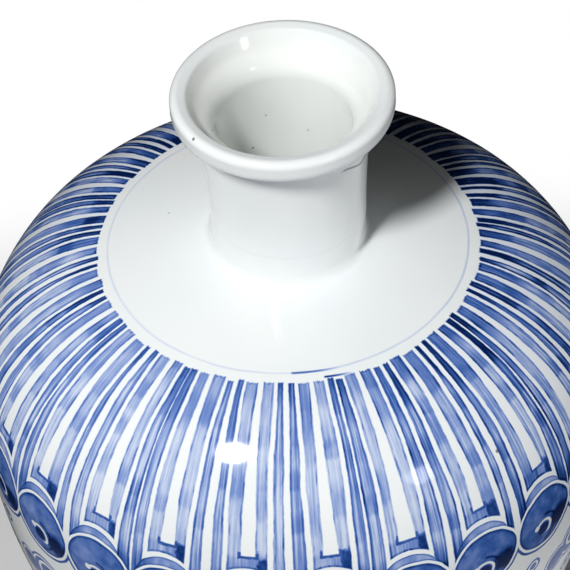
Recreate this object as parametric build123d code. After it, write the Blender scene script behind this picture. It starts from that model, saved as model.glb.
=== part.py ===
from build123d import *
from math import atan, cos, degrees, radians, sin, sqrt, tan
import os

# A large meiping vase of fired porcelain: wheel-thrown sections, trimmed to bevels and luted with slip.
# Millimetres, +Z up, origin at the centre of the foot's rest face.
# The wall is drawn once as a flat section of radius and height, cut along its seams and turned about Z.

# Foot
FOOT_HEIGHT = 24.0            # from the rest face to the narrowest part of the body
FOOT_FLARE = 3.5              # how far the foot spreads past the narrowest part
FOOT_EDGE_HEIGHT = 4.0        # upright edge at the bottom of the flare
FOOT_EDGE_ROUND = 1.6
REST_WIDTH = 9.0              # unglazed ring that the vase stands on
FOOT_RECESS = 8.0             # depth of the hollow under the base
LEDGE_WIDTH = 5.5             # step inside the foot that carries the base disc

# Body
WAIST_RADIUS = 58.5           # narrowest part, above the foot
TAPER_HEIGHT = 217.0          # from the narrowest part up to the widest
BELLY_RADIUS = 112.0          # widest part
TAPER_ARC = 250.0             # outer radius of the swelling part of the taper
SHOULDER_ARC = 62.0           # outer radius of the turn from the widest part to the dome
DOME_SLOPE = 15.0             # degrees, where the turn runs out into the pale dome
DOME_ARC = 212.0              # outer radius of the dome, which levels off towards the neck
BODY_WALL = 6.0

# Neck
BORE_RADIUS = 22.4
NECK_WALL = 3.6               # at the dome
NECK_LENGTH = 53.2            # from the dome up to the crease under the lip
NECK_FLARE = 3.4              # how much wider the neck is at the crease than at the dome
NECK_HOLLOW = 0.8             # depth of the waist below a straight line between the neck's ends
COLLAR_HEIGHT = 12.0          # part of the neck that is pulled up from the dome
COLLAR_ROUND = 3.0            # sweep from the dome into the neck
THROAT_ROUND = 3.0            # inside, where the bore opens into the body

# Lip
LIP_OVERHANG = 7.1            # how far the lip stands out past the crease
LIP_HEIGHT = 8.4              # upright outer face of the lip
LIP_UNDERCUT = 1.6            # rise of the underside from the crease to the outer face
LIP_WIDTH = 5.3               # top of the lip before rounding
LIP_FALL = 1.3                # how much the top of the lip slopes down towards the mouth
LIP_ROUND = 2.0               # upper outer edge of the lip
LIP_ROUND_SHARE = 0.56        # most of the lip's top that the rounded outer edge may take
LIP_INNER_ROUND = 1.8
LIP_UNDER_ROUND = 3.4
CREASE_ROUND = 2.0
MOUTH_DEPTH = 10.5            # from the top of the lip down to the bore, before rounding
MOUTH_WALL_DEPTH = 6.0        # steep upper part of the dished mouth
MOUTH_WALL_DRAFT = 3.0        # how far that steep part leans in
MOUTH_ROUND = 8.0             # soft turn from the steep part into the dish
BORE_ROUND = 9.0              # soft turn from the dish into the bore

# Base disc and slip
BASE_THICKNESS = 8.0
SLIP = 1.2                    # thickness of every slip joint
BEAD = 1.6                    # radius of the slip squeezed out inside, where no hand reaches
COVE = 4.0                    # slip pressed into the corner above the base disc
BELLY_SEAM_ANGLE = 16.0       # degrees below the widest part, on the swelling part of the taper
SHOULDER_SEAM_ANGLE = 35.0    # degrees above the widest part, on the shoulder's turn

# Levels and radii that follow from the sizes above
foot_radius = WAIST_RADIUS + FOOT_FLARE
belly_height = FOOT_HEIGHT + TAPER_HEIGHT
neck_radius = BORE_RADIUS + NECK_WALL
crease_radius = neck_radius + NECK_FLARE
lip_radius = crease_radius + LIP_OVERHANG
mouth_radius = lip_radius - LIP_WIDTH
seat_radius = WAIST_RADIUS - BODY_WALL
ledge_radius = seat_radius - LEDGE_WIDTH
rest_radius = foot_radius - FOOT_EDGE_ROUND - REST_WIDTH
base_bottom = FOOT_RECESS + SLIP
base_top = base_bottom + BASE_THICKNESS

# The taper is an ogee: a swelling arc and a hollow arc that meet on the line between their ends
taper_turn = 2 * atan((BELLY_RADIUS - WAIST_RADIUS) / TAPER_HEIGHT)
taper_centre = Vector(BELLY_RADIUS - TAPER_ARC, belly_height)
shoulder_centre = Vector(BELLY_RADIUS - SHOULDER_ARC, belly_height)
dome_run = Vector(-cos(radians(DOME_SLOPE)), sin(radians(DOME_SLOPE)))


def polar(centre, radius, angle):
    """Point of the section at a radius and an angle in degrees, counted from the horizontal."""
    return centre + Vector(radius * cos(radians(angle)), radius * sin(radians(angle)))


def dome_height(radius, inset):
    """Height of the dome's surface at a radius, a wall thickness inside the outer face or on it."""
    centre = polar(shoulder_centre, SHOULDER_ARC - DOME_ARC, 90 - DOME_SLOPE)
    return centre.Y + sqrt((DOME_ARC - inset) ** 2 - (radius - centre.X) ** 2)


neck_base = dome_height(neck_radius, 0)
collar_top = neck_base + COLLAR_HEIGHT
crease_height = neck_base + NECK_LENGTH
lip_bottom = crease_height + LIP_UNDERCUT
lip_top = lip_bottom + LIP_HEIGHT
mouth_bottom = lip_top - MOUTH_DEPTH
dish_width = mouth_radius - MOUTH_WALL_DRAFT - BORE_RADIUS
bore_turn = atan(dish_width / (MOUTH_DEPTH - MOUTH_WALL_DEPTH))
bore_top = mouth_bottom - BORE_ROUND * tan(bore_turn / 2)
lip_seam_height = min(crease_height - CREASE_ROUND, bore_top) - SLIP / 2

# Corners of the wall that are rounded later
neck_corner = Vector(neck_radius, neck_base)
crease_corner = Vector(crease_radius, crease_height)
lip_under_corner = Vector(lip_radius, lip_bottom)
lip_outer_corner = Vector(lip_radius, lip_top)
lip_inner_corner = Vector(mouth_radius, lip_top - LIP_FALL)
mouth_corner = Vector(mouth_radius - MOUTH_WALL_DRAFT, lip_top - MOUTH_WALL_DEPTH)
bore_corner = Vector(BORE_RADIUS, mouth_bottom)
throat_corner = Vector(BORE_RADIUS, dome_height(BORE_RADIUS, BODY_WALL))
foot_corner = Vector(foot_radius, 0)


def body_line(inset, neck_point):
    """Curve of the body from the narrowest part to the neck, on the outer face or inset from it."""
    waist = Vector(WAIST_RADIUS - inset, FOOT_HEIGHT)
    belly = Vector(BELLY_RADIUS - inset, belly_height)
    inflection = polar(taper_centre, TAPER_ARC - inset, -degrees(taper_turn))
    dome_edge = polar(shoulder_centre, SHOULDER_ARC - inset, 90 - DOME_SLOPE)
    return [
        TangentArc(waist, inflection, tangent=(0, 1)),
        TangentArc(belly, inflection, tangent=(0, -1)),
        TangentArc(belly, dome_edge, tangent=(0, 1)),
        TangentArc(dome_edge, neck_point, tangent=dome_run),
    ]


def rounded(section, corner, radius):
    """Round one corner of a flat section."""
    nearest = section.vertices().sort_by_distance(corner)[0]
    return fillet(nearest, radius)


def wall_section():
    """Half section of the whole wall, from the rest face to the lip and back down inside."""
    waist = Vector(WAIST_RADIUS, FOOT_HEIGHT)
    foot_edge = Vector(foot_radius, FOOT_EDGE_HEIGHT)
    neck_middle = (neck_corner + crease_corner) / 2 - Vector(NECK_HOLLOW, 0)
    outside = [
        Line(foot_corner, foot_edge),
        TangentArc(waist, foot_edge, tangent=(0, -1)),
        *body_line(0, neck_corner),
        ThreePointArc(neck_corner, neck_middle, crease_corner),
    ]
    lip = Polyline(crease_corner, lip_under_corner, lip_outer_corner, lip_inner_corner, mouth_corner,
                   bore_corner, throat_corner)
    foot_inside = Polyline(
        (seat_radius, FOOT_HEIGHT),
        (seat_radius, FOOT_RECESS),
        (ledge_radius, FOOT_RECESS),
        (rest_radius, 0),
        foot_corner,
    )
    section = make_face(outside + lip.edges() + body_line(BODY_WALL, throat_corner) + foot_inside.edges())
    corners = [
        (neck_corner, COLLAR_ROUND),
        (crease_corner, CREASE_ROUND),
        (lip_under_corner, LIP_UNDER_ROUND),
        (lip_outer_corner, min(LIP_ROUND, LIP_ROUND_SHARE * LIP_WIDTH)),
        (lip_inner_corner, LIP_INNER_ROUND),
        (mouth_corner, MOUTH_ROUND),
        (bore_corner, BORE_ROUND),
        (throat_corner, THROAT_ROUND),
        (foot_corner, FOOT_EDGE_ROUND),
    ]
    for corner, radius in corners:
        section = rounded(section, corner, radius)
    return section


def arc_seam(centre, arc, angle):
    """Band of slip square to the wall at an angle on one of its arcs, twice as long as the wall."""
    middle = polar(centre, arc - BODY_WALL / 2, angle)
    return Pos(middle) * Rot(0, 0, angle) * Rectangle(2 * BODY_WALL, SLIP)


def neck_seam(height):
    """Level band of slip through the wall of the neck."""
    return Pos((BORE_RADIUS + crease_radius) / 2, height) * Rectangle(2 * (crease_radius - BORE_RADIUS), SLIP)


def squeezed_bead(wall, centre, arc, angle):
    """Slip that the joint pressed out along its inner edge."""
    return Pos(polar(centre, arc - BODY_WALL, angle)) * Circle(BEAD) - wall


def base_disc_section():
    """Half section of the slab, one slip joint clear of its ledge and of the wall."""
    radius = seat_radius - SLIP
    return Pos(radius / 2, base_bottom + BASE_THICKNESS / 2) * Rectangle(radius, BASE_THICKNESS)


def base_slip_section(wall, disc):
    """Slip bed under and around the slab, with the cove that was pressed into the corner above it."""
    width = LEDGE_WIDTH
    height = base_top - FOOT_RECESS
    bed = Pos(ledge_radius + width / 2, FOOT_RECESS + height / 2) * Rectangle(width, height)
    cove_corner = Vector(seat_radius - COVE / 2, base_top + COVE / 2)
    cove = Pos(cove_corner) * Rectangle(COVE, COVE)
    thumb = Pos(cove_corner + Vector(-COVE / 2, COVE / 2)) * Circle(COVE)
    return bed + (cove - thumb) - disc - wall


def turned(section):
    """Turn a flat section about the vase's axis."""
    return revolve(Plane.XZ * section, Axis.Z)


wall = wall_section()
belly_seam = arc_seam(taper_centre, TAPER_ARC, -BELLY_SEAM_ANGLE)
shoulder_seam = arc_seam(shoulder_centre, SHOULDER_ARC, SHOULDER_SEAM_ANGLE)
collar_seam = neck_seam(collar_top)
lip_seam = neck_seam(lip_seam_height)
clay = wall - belly_seam - shoulder_seam - collar_seam - lip_seam
lower_body, belly, shoulder, neck, lip = clay.faces().sort_by(Axis.Y)
base_disc = base_disc_section()

sections = {
    "base_disc": base_disc,
    "base_slip": base_slip_section(wall, base_disc),
    "lower_body": lower_body,
    "belly_seam_slip": (wall & belly_seam) + squeezed_bead(wall, taper_centre, TAPER_ARC, -BELLY_SEAM_ANGLE),
    "belly": belly,
    "shoulder_seam_slip": (wall & shoulder_seam)
    + squeezed_bead(wall, shoulder_centre, SHOULDER_ARC, SHOULDER_SEAM_ANGLE),
    "shoulder": shoulder,
    "neck_seam_slip": wall & collar_seam,
    "neck": neck,
    "lip_seam_slip": wall & lip_seam,
    "lip": lip,
}

os.makedirs("parts", exist_ok=True)
for node, section in sections.items():
    export_step(turned(section), f"parts/{node}.step")
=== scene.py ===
"""A blue-and-white meiping vase, turned section by section from one drawn wall and painted in cobalt.

Sizes are in millimetres. The finished meshes are in metres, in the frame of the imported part.
"""

import cmath
import logging
import math
from collections.abc import Callable
from dataclasses import dataclass, field
from enum import Enum
from typing import Any

import bpy
from mathutils import Euler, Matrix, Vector


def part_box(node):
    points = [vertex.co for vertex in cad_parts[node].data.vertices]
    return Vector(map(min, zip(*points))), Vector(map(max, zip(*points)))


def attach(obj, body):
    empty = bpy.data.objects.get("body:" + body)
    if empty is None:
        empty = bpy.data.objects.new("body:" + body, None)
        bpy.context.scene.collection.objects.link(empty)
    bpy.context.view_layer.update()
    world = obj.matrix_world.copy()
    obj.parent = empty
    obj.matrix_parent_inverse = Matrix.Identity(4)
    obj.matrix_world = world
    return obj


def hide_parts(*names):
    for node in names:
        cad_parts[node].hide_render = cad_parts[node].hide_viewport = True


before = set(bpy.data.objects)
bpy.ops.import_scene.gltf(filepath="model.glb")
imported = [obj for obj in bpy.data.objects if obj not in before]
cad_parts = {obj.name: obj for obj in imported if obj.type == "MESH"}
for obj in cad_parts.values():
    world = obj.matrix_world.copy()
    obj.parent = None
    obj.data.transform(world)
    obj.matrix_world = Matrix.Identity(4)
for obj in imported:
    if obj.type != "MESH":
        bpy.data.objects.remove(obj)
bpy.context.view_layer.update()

log = logging.getLogger("meiping")

MM = 0.001
INSIDE = -200.0          # painted distance given to faces that no brush reached
PAINT = "paint_mm"       # attribute: distance down the outer face from the ring line on the dome
SLACK = "slack_mm"       # attribute: how far the hand may have pressed the wall in
BODY = "root"
LOWEST, HIGHEST = 0, 6   # places of the lowest and the highest corner in Blender's list of a box's corners

Colour = tuple[float, float, float]
Place = tuple[float, float, float]
Span = tuple[float, float]


def srgb(red: float, green: float, blue: float) -> Colour:
    """Linear colour of an 8-bit display colour."""
    shares = [value / 255 for value in (red, green, blue)]
    return tuple(s / 12.92 if s <= 0.04045 else ((s + 0.055) / 1.055) ** 2.4 for s in shares)


def turned_to(angle: float) -> complex:
    """Unit direction in the section plane at an angle in degrees above the horizontal."""
    return cmath.rect(1, math.radians(angle))


def put_up(name: str, data: Any) -> bpy.types.Object:
    """Make an object from its data and link it to the scene."""
    made = bpy.data.objects.new(name, data)
    bpy.context.scene.collection.objects.link(made)
    return made


class Tree:
    """A node tree with one method that adds nodes and one that feeds their sockets."""

    def __init__(self, nodes: bpy.types.NodeTree) -> None:
        """Wrap a shader or geometry node tree."""
        self.tree = nodes

    @classmethod
    def of(cls, owner: bpy.types.Material | bpy.types.World) -> "Tree":
        """Empty the node tree of a material or world and wrap it."""
        owner.use_nodes = True
        owner.node_tree.nodes.clear()
        return cls(owner.node_tree)

    def node(self, kind: str, settings: dict[str, Any] | None = None,
             sockets: dict[Any, Any] | None = None) -> bpy.types.Node:
        """Add a node.

        Args:
            kind: Blender's name of the node type.
            settings: The node's own properties, set first; "stops" fills a colour ramp.
            sockets: Values or links for its inputs, by name or place.

        Returns:
            The node.
        """
        made = self.tree.nodes.new(kind)
        for name, value in (settings or {}).items():
            if name == "stops":
                self.fill_ramp(made.color_ramp, value)
            else:
                setattr(made, name, value)
        for key, value in (sockets or {}).items():
            self.feed(made.inputs[key], value)
        return made

    @staticmethod
    def fill_ramp(ramp: bpy.types.ColorRamp, stops: list[tuple[float, Colour]]) -> None:
        """Give a colour ramp its stops, each a place and a colour."""
        while len(ramp.elements) < len(stops):
            ramp.elements.new(1.0)
        for element, (place, colour) in zip(ramp.elements, stops):
            element.position = place
            element.color = (*colour, 1.0)

    def feed(self, socket: bpy.types.NodeSocket, value: Any) -> None:
        """Link a socket, or set its constant."""
        if isinstance(value, Num):
            value = value.socket
        if isinstance(value, bpy.types.NodeSocket):
            self.tree.links.new(value, socket)
        elif isinstance(value, tuple) and socket.type == "RGBA":
            socket.default_value = (*value, 1.0)
        else:
            socket.default_value = value

    def num(self, kind: str, settings: dict[str, Any] | None = None, sockets: dict[Any, Any] | None = None,
            output: Any = 0) -> "Num":
        """Add a node and take one of its outputs as a number."""
        return Num(self, self.node(kind, settings, sockets).outputs[output])

    def math(self, operation: str, *terms: Any) -> "Num":
        """Add a Math node on numbers and constants."""
        return self.num("ShaderNodeMath", {"operation": operation}, dict(enumerate(terms)))

    def vector(self, x: Any, y: Any, z: Any) -> bpy.types.NodeSocket:
        """Join three numbers into a vector."""
        return self.node("ShaderNodeCombineXYZ", sockets={0: x, 1: y, 2: z}).outputs[0]

    def parts(self, vector: Any) -> list["Num"]:
        """Split a vector into three numbers."""
        painted_shade = self.node("ShaderNodeSeparateXYZ", sockets={0: vector})
        return [Num(self, socket) for socket in painted_shade.outputs]


def two_terms(operation: str, swapped: bool = False) -> Callable[["Num", Any], "Num"]:
    """Make a method of Num that adds a Math node on the number and another term.

    Args:
        operation: Blender's name of the operation.
        swapped: Whether the other term comes first, as in Python's reflected operators.

    Returns:
        The method.
    """
    def method(self: "Num", other: Any) -> "Num":
        """Add the node and return what it gives."""
        return self.tree.math(operation, *((other, self) if swapped else (self, other)))

    return method


class Num:
    """A number that varies over a surface; arithmetic on it adds Math nodes to its tree."""

    def __init__(self, tree: Tree, socket: bpy.types.NodeSocket) -> None:
        """Wrap a socket of a tree."""
        self.tree = tree
        self.socket = socket

    __add__ = __radd__ = two_terms("ADD")
    __sub__ = two_terms("SUBTRACT")
    __rsub__ = two_terms("SUBTRACT", swapped=True)
    __mul__ = __rmul__ = two_terms("MULTIPLY")
    __truediv__ = two_terms("DIVIDE")
    __rtruediv__ = two_terms("DIVIDE", swapped=True)
    __gt__ = two_terms("GREATER_THAN")
    __lt__ = two_terms("LESS_THAN")
    least = two_terms("MINIMUM")
    most = two_terms("MAXIMUM")

    def __neg__(self) -> "Num":
        """Negative."""
        return self * -1.0

    def __abs__(self) -> "Num":
        """Size without its sign."""
        return self.tree.math("ABSOLUTE", self)

    def floor(self) -> "Num":
        """Whole part."""
        return self.tree.math("FLOOR", self)

    def hypot(self, other: "Num") -> "Num":
        """Length of the two numbers as a flat vector."""
        return self.tree.math("SQRT", self * self + other * other)

    def rise(self, low: Any, high: Any) -> "Num":
        """Smooth step from 0 at low to 1 at high; it falls where low is the greater."""
        return self.tree.num("ShaderNodeMapRange", {"interpolation_type": "SMOOTHSTEP"},
                             {"Value": self, "From Min": low, "From Max": high})

    def between(self, low: float, high: float, soft: float) -> "Num":
        """1 inside a range with soft ends."""
        return self.rise(low - soft, low + soft) * self.rise(high + soft, high - soft)

    def drawn(self, outer: float, inner: float) -> "Num":
        """1 on a line and 0 beside it, where this number is the distance from the line's middle."""
        return abs(self).rise(outer, inner)


@dataclass(frozen=True)
class Dot:
    """One point of the drawn wall.

    Attributes:
        spot: Radius plus height times 1j.
        travel: Distance drawn so far.
        painted: Whether the face takes painting.
    """

    spot: complex
    travel: float
    painted: bool


@dataclass
class Pen:
    """Draws the wall's section once, clockwise, and files its points under the section that they belong to.

    Attributes:
        step: Longest distance between points.
        turn: Largest turn between points of an arc, in degrees.
        hold: Distance of the row that keeps the surface true beside a seam.
        spot: Where the pen is.
        travel: Distance drawn so far.
        zero: That distance at the ring line on the dome.
        painted: Whether the face being drawn takes painting.
        section: Name of the section being drawn.
        stretches: The points of each section.
    """

    step: float = 2.4
    turn: float = 9.0
    hold: float = 0.15
    spot: complex = 0j
    travel: float = 0.0
    zero: float = 0.0
    painted: bool = False
    section: str = ""
    stretches: dict[str, list[Dot]] = field(default_factory=dict)

    def begin(self, section: str) -> None:
        """File the following points, from this one on, under a section."""
        self.section = section
        self.stretches.setdefault(section, []).append(Dot(self.spot, self.travel, self.painted))

    def put(self, spot: complex) -> None:
        """Draw to a point."""
        self.travel += abs(spot - self.spot)
        self.spot = spot
        self.stretches[self.section].append(Dot(spot, self.travel, self.painted))

    def shares(self, length: float, count: int) -> list[float]:
        """Shares of a stretch at which points lie, with the holding rows at both ends."""
        even = [i / count for i in range(1, count + 1)]
        if length < 4 * self.hold:
            return [1.0]
        near = self.hold / length
        return sorted({near, 1 - near, *[e for e in even if near < e < 1 - near], 1.0})

    def line(self, *ends: complex) -> None:
        """Draw straight lines from point to point."""
        for end in ends:
            start = self.spot
            length = abs(end - start)
            for share in self.shares(length, max(1, math.ceil(length / self.step))):
                self.put(start + (end - start) * share)

    def arc(self, centre: complex, towards: complex) -> None:
        """Draw an arc about a centre, the short way round, until it lies towards a point."""
        start = self.spot - centre
        angle = cmath.phase((towards - centre) / start)
        length = abs(start) * abs(angle)
        count = max(1, math.ceil(max(length / self.step, abs(math.degrees(angle)) / self.turn)))
        for share in self.shares(length, count):
            self.put(centre + start * cmath.rect(1, angle * share))

    def sweep(self, centre: complex, angle: float) -> None:
        """Draw an arc about a centre to an angle in degrees above the horizontal."""
        self.arc(centre, centre + turned_to(angle))

    def bend(self, corner: complex, radius: float, towards: complex) -> None:
        """Draw to a corner between two straight lines and round it.

        Args:
            corner: Where the lines would meet.
            radius: Radius of the rounded corner.
            towards: A point on the line that follows.
        """
        back = (self.spot - corner) / abs(self.spot - corner)
        ahead = (towards - corner) / abs(towards - corner)
        half = abs(cmath.phase(ahead / back)) / 2
        middle = (back + ahead) / abs(back + ahead)
        self.line(corner + back * radius / math.tan(half))
        self.arc(corner + middle * radius / math.sin(half), corner + ahead * radius / math.tan(half))


def crossing(first: complex, first_radius: float, second: complex, second_radius: float) -> complex:
    """Point where two circles cross, on the left of the way from the first centre to the second."""
    way = second - first
    share = (first_radius ** 2 - second_radius ** 2 + abs(way) ** 2) / (2 * abs(way))
    aside = math.sqrt(first_radius ** 2 - share ** 2)
    return first + way / abs(way) * complex(share, aside)


def upright_arc(start: complex, end: complex) -> complex:
    """Centre of the arc that leaves one point upright and passes through another."""
    way = end - start
    return start + abs(way) ** 2 / (2 * way.real)


def ball_rest(on: complex, along: complex, out: complex, centre: complex, arc: float, radius: float) -> complex:
    """Centre of a ball that touches a straight line and the inside of a large circle.

    Args:
        on: A point of the line, near the ball.
        along: The line's unit direction.
        out: Unit direction from the line to the ball's side.
        centre: The circle's centre.
        arc: The circle's radius.
        radius: The ball's radius.

    Returns:
        The ball's centre, the nearest of the two to the point.
    """
    start = on + out * radius - centre
    lean = (start * along.conjugate()).real
    root = math.sqrt(lean * lean - abs(start) ** 2 + (arc - radius) ** 2)
    share = min(-lean - root, -lean + root, key=abs)
    return centre + start + along * share


@dataclass(frozen=True)
class Body:
    """The swelling body: shoulder, belly and lower section, with their seams and the foot."""

    foot_height: float = 24.0
    foot_radius: float = 62.0
    foot_edge_height: float = 4.0
    foot_edge_round: float = 1.6
    rest_width: float = 9.0
    foot_recess: float = 8.0
    ledge_width: float = 5.5
    waist_radius: float = 58.5
    taper_height: float = 217.0
    belly_radius: float = 112.0
    taper_arc: float = 250.0
    shoulder_arc: float = 62.0
    dome_slope: float = 15.0
    dome_arc: float = 212.0
    wall: float = 6.0
    slip: float = 1.2
    bead: float = 1.6
    belly_seam: float = -16.0
    shoulder_seam: float = 35.0
    ring_radius: float = 61.2

    @property
    def belly_height(self) -> float:
        """Height of the widest part."""
        return self.foot_height + self.taper_height

    @property
    def waist(self) -> complex:
        """Narrowest point of the outer face, above the foot's flare."""
        return complex(self.waist_radius, self.foot_height)

    @property
    def taper_centre(self) -> complex:
        """Centre of the swelling arc below the widest part."""
        return complex(self.belly_radius - self.taper_arc, self.belly_height)

    @property
    def taper_turn(self) -> float:
        """Angle in degrees at which the swelling arc meets the hollow one."""
        return 2 * math.degrees(math.atan((self.belly_radius - self.waist_radius) / self.taper_height))

    @property
    def inflection(self) -> complex:
        """Point of the outer face at which they meet."""
        return self.taper_centre + self.taper_arc * turned_to(-self.taper_turn)

    @property
    def hollow_centre(self) -> complex:
        """Centre of the hollow arc above the foot."""
        return upright_arc(self.waist, self.inflection)

    @property
    def shoulder_centre(self) -> complex:
        """Centre of the shoulder's turn."""
        return complex(self.belly_radius - self.shoulder_arc, self.belly_height)

    @property
    def dome_turn(self) -> float:
        """Angle in degrees at which the shoulder's turn meets the dome."""
        return 90 - self.dome_slope

    @property
    def dome_centre(self) -> complex:
        """Centre of the dome, which levels off towards the neck, seen in section."""
        return self.shoulder_centre + (self.shoulder_arc - self.dome_arc) * turned_to(self.dome_turn)

    @property
    def seat_radius(self) -> float:
        """Inner radius of the wall at the foot, where the base is let in."""
        return self.waist_radius - self.wall

    @property
    def ledge_radius(self) -> float:
        """Inner radius of the ledge under the base."""
        return self.seat_radius - self.ledge_width

    def dome(self, radius: float, inset: float) -> complex:
        """Point of the dome at a radius."""
        aside = radius - self.dome_centre.real
        return complex(radius, self.dome_centre.imag + math.sqrt((self.dome_arc - inset) ** 2 - aside ** 2))

    def seam_edge(self, arc: float, angle: float, side: int) -> float:
        """Angle of one edge of a seam on an arc; side is 1 above and -1 below."""
        return angle + side * math.degrees(math.asin(self.slip / 2 / arc))

    def draw_outside(self, pen: Pen) -> None:
        """Draw from the dome down the outer face and round the foot."""
        pen.arc(self.dome_centre, self.dome(self.ring_radius, 0))
        pen.zero = pen.travel
        pen.sweep(self.dome_centre, self.dome_turn)
        pen.sweep(self.shoulder_centre, self.seam_edge(self.shoulder_arc, self.shoulder_seam, 1))
        pen.begin("shoulder_seam_slip")
        pen.sweep(self.shoulder_centre, self.seam_edge(self.shoulder_arc, self.shoulder_seam, -1))
        pen.begin("belly")
        pen.sweep(self.shoulder_centre, 0)
        pen.sweep(self.taper_centre, self.seam_edge(self.taper_arc, self.belly_seam, 1))
        pen.begin("belly_seam_slip")
        pen.sweep(self.taper_centre, self.seam_edge(self.taper_arc, self.belly_seam, -1))
        pen.begin("lower_body")
        pen.sweep(self.taper_centre, -self.taper_turn)
        pen.arc(self.hollow_centre, self.waist)
        self.draw_foot(pen)

    def draw_foot(self, pen: Pen) -> None:
        """Draw the flare, the rest ring and the recess, up to the seat of the base."""
        edge = complex(self.foot_radius, self.foot_edge_height)
        rest = complex(self.foot_radius - self.foot_edge_round - self.rest_width, 0)
        pen.arc(upright_arc(self.waist, edge), edge)
        pen.bend(complex(self.foot_radius, 0), self.foot_edge_round, rest)
        pen.painted = False
        ledge, seat = complex(self.ledge_radius, self.foot_recess), complex(self.seat_radius, self.foot_recess)
        pen.line(rest, ledge, seat, complex(self.seat_radius, self.foot_height))

    def draw_bead(self, pen: Pen, centre: complex, arc: float, angle: float) -> None:
        """Draw the slip squeezed out of a seam along its inner edge."""
        middle = centre + arc * turned_to(angle)
        reach = 2 * math.degrees(math.asin(self.bead / 2 / arc))
        pen.sweep(centre, angle - reach)
        pen.sweep(middle, angle + 180)
        pen.arc(middle, centre + arc * turned_to(angle + reach))
        pen.sweep(centre, self.seam_edge(arc, angle, 1))

    def draw_inside(self, pen: Pen) -> None:
        """Draw up the inner face to the dome."""
        taper, shoulder = self.taper_arc - self.wall, self.shoulder_arc - self.wall
        pen.arc(self.hollow_centre, self.inflection)
        pen.sweep(self.taper_centre, self.seam_edge(taper, self.belly_seam, -1))
        pen.begin("belly_seam_slip")
        self.draw_bead(pen, self.taper_centre, taper, self.belly_seam)
        pen.begin("belly")
        pen.sweep(self.taper_centre, 0)
        pen.sweep(self.shoulder_centre, self.seam_edge(shoulder, self.shoulder_seam, -1))
        pen.begin("shoulder_seam_slip")
        self.draw_bead(pen, self.shoulder_centre, shoulder, self.shoulder_seam)
        pen.begin("shoulder")
        pen.sweep(self.shoulder_centre, self.dome_turn)


@dataclass(frozen=True)
class Neck:
    """The waisted neck on its collar, which flares up to the lip."""

    body: Body
    bore_radius: float = 22.4
    wall: float = 3.6
    length: float = 53.2
    flare: float = 3.4
    hollow: float = 0.8
    collar_height: float = 12.0
    collar_round: float = 3.0
    throat_round: float = 3.0
    slip: float = 1.2

    @property
    def foot(self) -> complex:
        """Corner at which the neck's face would meet the dome."""
        return self.body.dome(self.bore_radius + self.wall, 0)

    @property
    def crease(self) -> complex:
        """Corner under the lip."""
        return self.foot + complex(self.flare, self.length)

    @property
    def collar(self) -> float:
        """Middle height of the seam on the collar."""
        return self.foot.imag + self.collar_height

    @property
    def arc_centre(self) -> complex:
        """Centre of the waisted face, out beside the neck, seen in section."""
        whole = self.crease - self.foot
        part = whole / 2 - self.hollow
        across = part.conjugate() * whole - part * whole.conjugate()
        return self.foot + (abs(part) ** 2 * whole - abs(whole) ** 2 * part) / across

    @property
    def arc(self) -> float:
        """Radius of the waisted face."""
        return abs(self.arc_centre - self.foot)

    def face(self, height: float) -> complex:
        """Point of the outer face at a height."""
        rise = height - self.arc_centre.imag
        return complex(self.arc_centre.real - math.sqrt(self.arc ** 2 - rise ** 2), height)

    def draw_outside(self, pen: Pen, lip_seam: float) -> None:
        """Draw from the lip's seam down the neck and its collar to the dome.

        Args:
            pen: The pen, on the upper edge of the lip's seam.
            lip_seam: Middle height of that seam.
        """
        half = self.slip / 2
        for section, end in (("lip_seam_slip", lip_seam - half), ("neck", self.collar + half),
                             ("neck_seam_slip", self.collar - half)):
            pen.begin(section)
            pen.arc(self.arc_centre, self.face(end))
        pen.begin("shoulder")
        ball = crossing(self.body.dome_centre, self.body.dome_arc + self.collar_round,
                        self.arc_centre, self.arc - self.collar_round)
        pen.arc(self.arc_centre, ball)
        pen.arc(ball, self.body.dome_centre)

    def draw_inside(self, pen: Pen, lip_seam: float) -> None:
        """Draw from the dome's inner face up the throat and the bore to the lip's seam."""
        half = self.slip / 2
        ball = self.body.dome(self.bore_radius + self.throat_round, self.body.wall - self.throat_round)
        pen.arc(self.body.dome_centre, ball)
        pen.sweep(ball, 180)
        pen.line(complex(self.bore_radius, self.collar - half))
        for section, end in (("neck_seam_slip", self.collar + half), ("neck", lip_seam - half),
                             ("lip_seam_slip", lip_seam + half)):
            pen.begin(section)
            pen.line(complex(self.bore_radius, end))


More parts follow.
